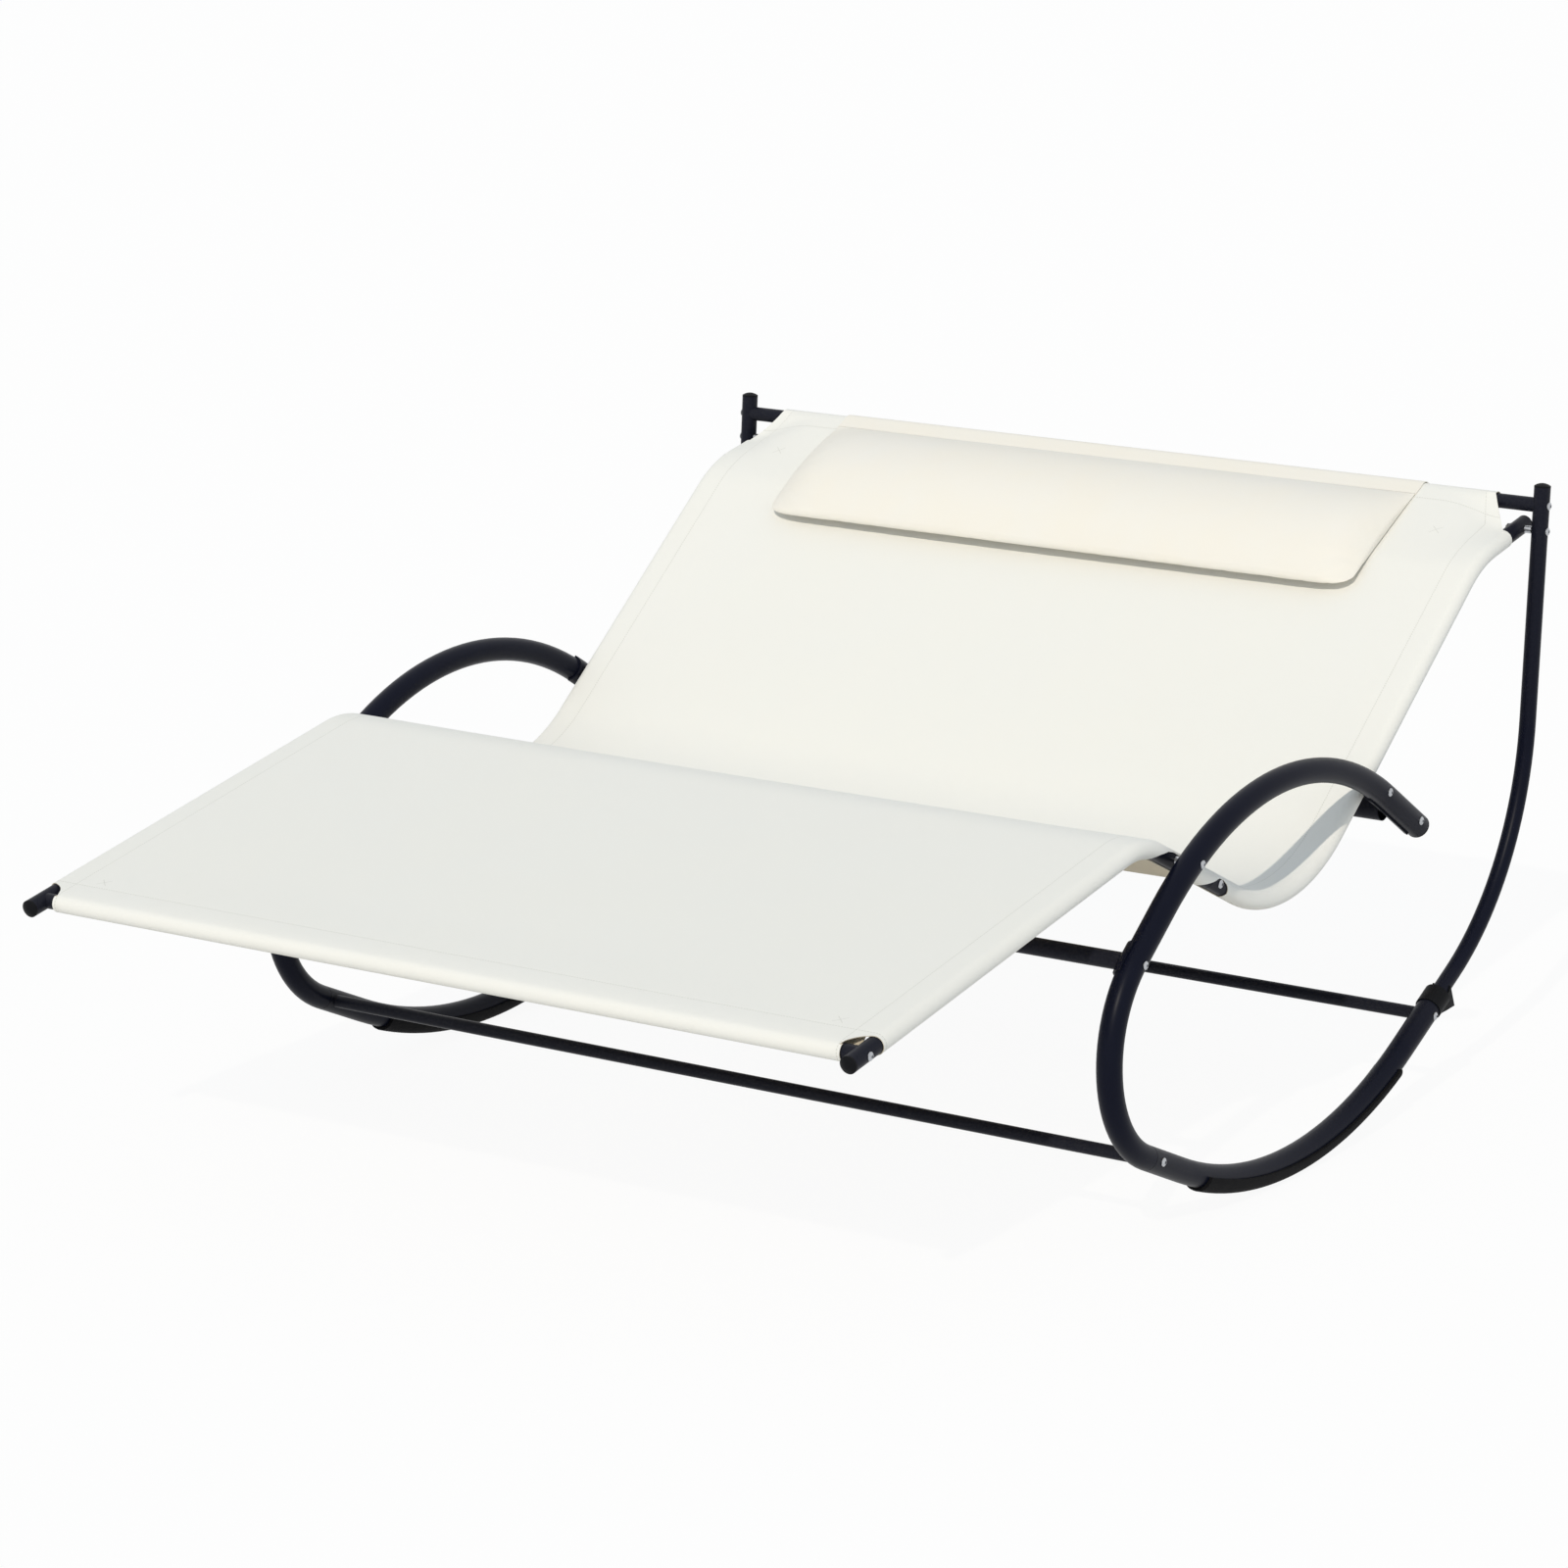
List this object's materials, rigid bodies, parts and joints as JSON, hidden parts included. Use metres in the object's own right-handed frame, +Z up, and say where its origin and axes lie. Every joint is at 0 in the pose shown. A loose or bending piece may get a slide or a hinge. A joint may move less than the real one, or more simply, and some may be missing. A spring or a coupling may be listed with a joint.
{
  "type": "two-person rocking lounger",
  "caption": "Rocking garden lounger for two: bent tube side frames on curved rockers, a sling seat stretched over bent rails, and a head cushion hung over the top bar.",
  "frame": {"origin": "below the middle of the overall length and width, on the floor", "axes": "+X to the right as seen from the foot end, +Y from the foot end towards the backrest, +Z up"},
  "size_m": [1.474, 1.8427, 0.8835],
  "materials": {
    "black_steel": "satin",
    "zinc_steel": "satin",
    "black_plastic": "matte",
    "strip_rubber": "matte",
    "sling_fabric": "matte",
    "cushion_fabric": "matte"
  },
  "bodies": {
    "frame": {"arm_end_caps": "black_plastic", "arm_rail_bolts": "zinc_steel", "arm_rail_nuts": "zinc_steel", "arm_rail_spacers": "zinc_steel", "arm_rear_bar_bolts": "zinc_steel", "arm_rear_crossbar": "black_steel", "calf_bar_bolts": "zinc_steel", "calf_bar_inserts": "zinc_steel", "calf_crossbar": "black_steel", "foot_bar_bolts": "zinc_steel", "foot_bar_inserts": "zinc_steel", "foot_crossbar": "black_steel", "front_low_bar_bolts": "zinc_steel", "front_low_bar_inserts": "zinc_steel", "front_low_crossbar": "black_steel", "left_arm_cradle": "black_steel", "left_arm_tube": "black_steel", "left_back_rail": "black_steel", "left_calf_cradle": "black_steel", "left_leg_rail": "black_steel", "left_rear_bumper": "black_plastic", "left_rocker_tube": "black_steel", "left_upright": "black_steel", "left_wear_strip": "strip_rubber", "rail_foot_caps": "black_plastic", "rail_joint_bolts": "zinc_steel", "rail_joint_nuts": "zinc_steel", "rail_top_bolts": "zinc_steel", "rail_top_caps": "black_plastic", "rail_top_nuts": "zinc_steel", "rail_top_spacers": "zinc_steel", "rear_low_bar_bolts": "zinc_steel", "rear_low_bar_inserts": "zinc_steel", "rear_low_crossbar": "black_steel", "right_arm_cradle": "black_steel", "right_arm_tube": "black_steel", "right_back_rail": "black_steel", "right_calf_cradle": "black_steel", "right_leg_rail": "black_steel", "right_rear_bumper": "black_plastic", "right_rocker_tube": "black_steel", "right_upright": "black_steel", "right_wear_strip": "strip_rubber", "sling": "sling_fabric", "top_bar_bolts": "zinc_steel", "top_bar_inserts": "zinc_steel", "top_crossbar": "black_steel", "upright_caps": "black_plastic"},
    "cushion_flap": {"pillow_flap": "cushion_fabric"},
    "cushion": {"pillow": "cushion_fabric"}
  },
  "joints": [
    {"name": "cushion_slide", "type": "slide", "parent": "frame", "child": "cushion_flap", "axis": [1, 0, 0], "range_m": [-0.14, 0.14]},
    {"name": "cushion_lift", "type": "hinge", "parent": "cushion_flap", "child": "cushion", "pos_m": [0, 0.87106, 0.85237], "axis": [-1, 0, 0], "range_deg": [0, 110]}
  ]
}
